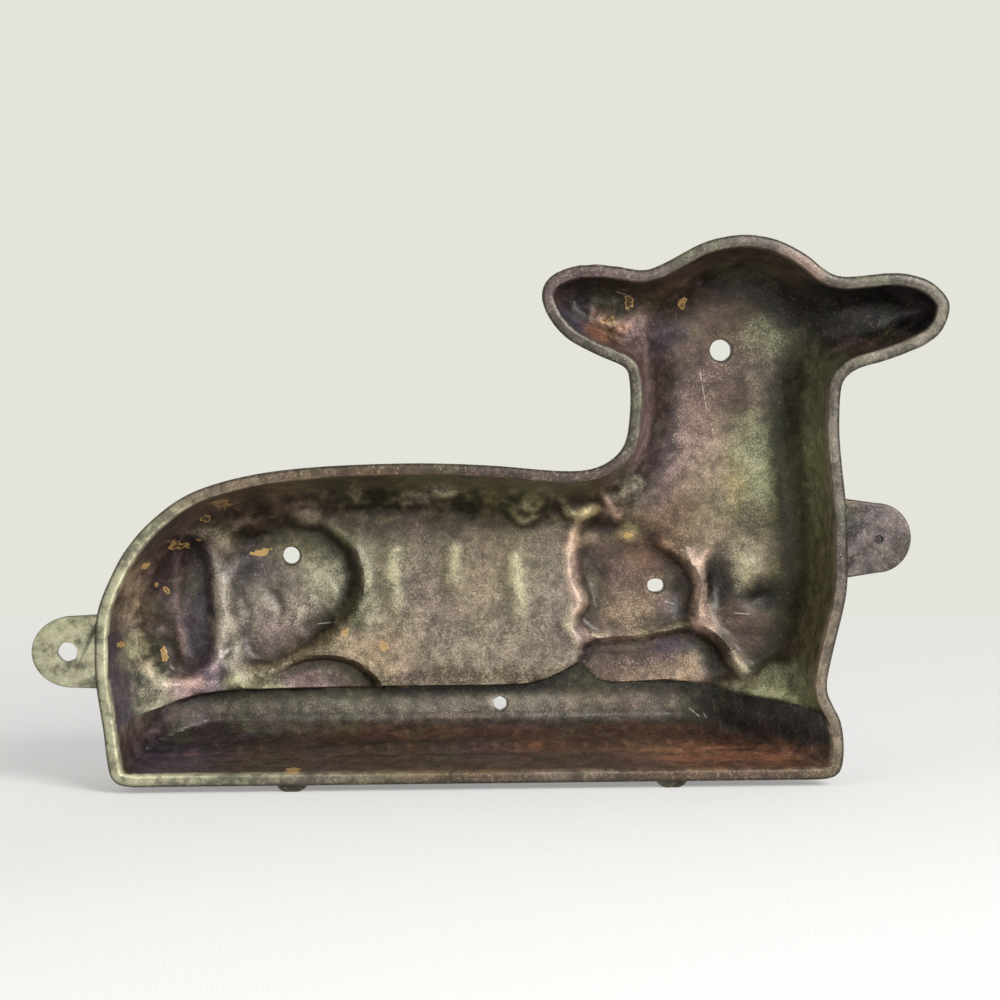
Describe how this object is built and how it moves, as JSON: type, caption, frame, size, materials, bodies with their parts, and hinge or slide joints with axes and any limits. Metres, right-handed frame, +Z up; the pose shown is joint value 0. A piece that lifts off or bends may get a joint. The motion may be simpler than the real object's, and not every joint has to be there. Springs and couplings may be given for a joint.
{
  "type": "lamb cake mould",
  "caption": "Cast iron cake mould in the form of a lying lamb: matching half shells with a flat rim, end tabs and vent holes.",
  "frame": {"origin": "on the surface the mould stands on, under the middle of the box round both halves as they stand apart", "axes": "+X from the rump to the chest of the lamb, +Y from the front half towards the back half across the parting face, +Z up"},
  "size_m": [0.6586, 0.3182, 0.2],
  "materials": {
    "back_iron": "old seasoned cast iron, mottled",
    "front_iron": "old seasoned cast iron, mottled"
  },
  "bodies": {
    "back_half": {"back_half": "back_iron"},
    "front_half": {"front_half": "front_iron"}
  },
  "joints": [
    {"name": "front_half_close", "type": "slide", "parent": "back_half", "child": "front_half", "axis": [0.8517, 0.5241, 0], "range_m": [0, 0.3816]}
  ]
}
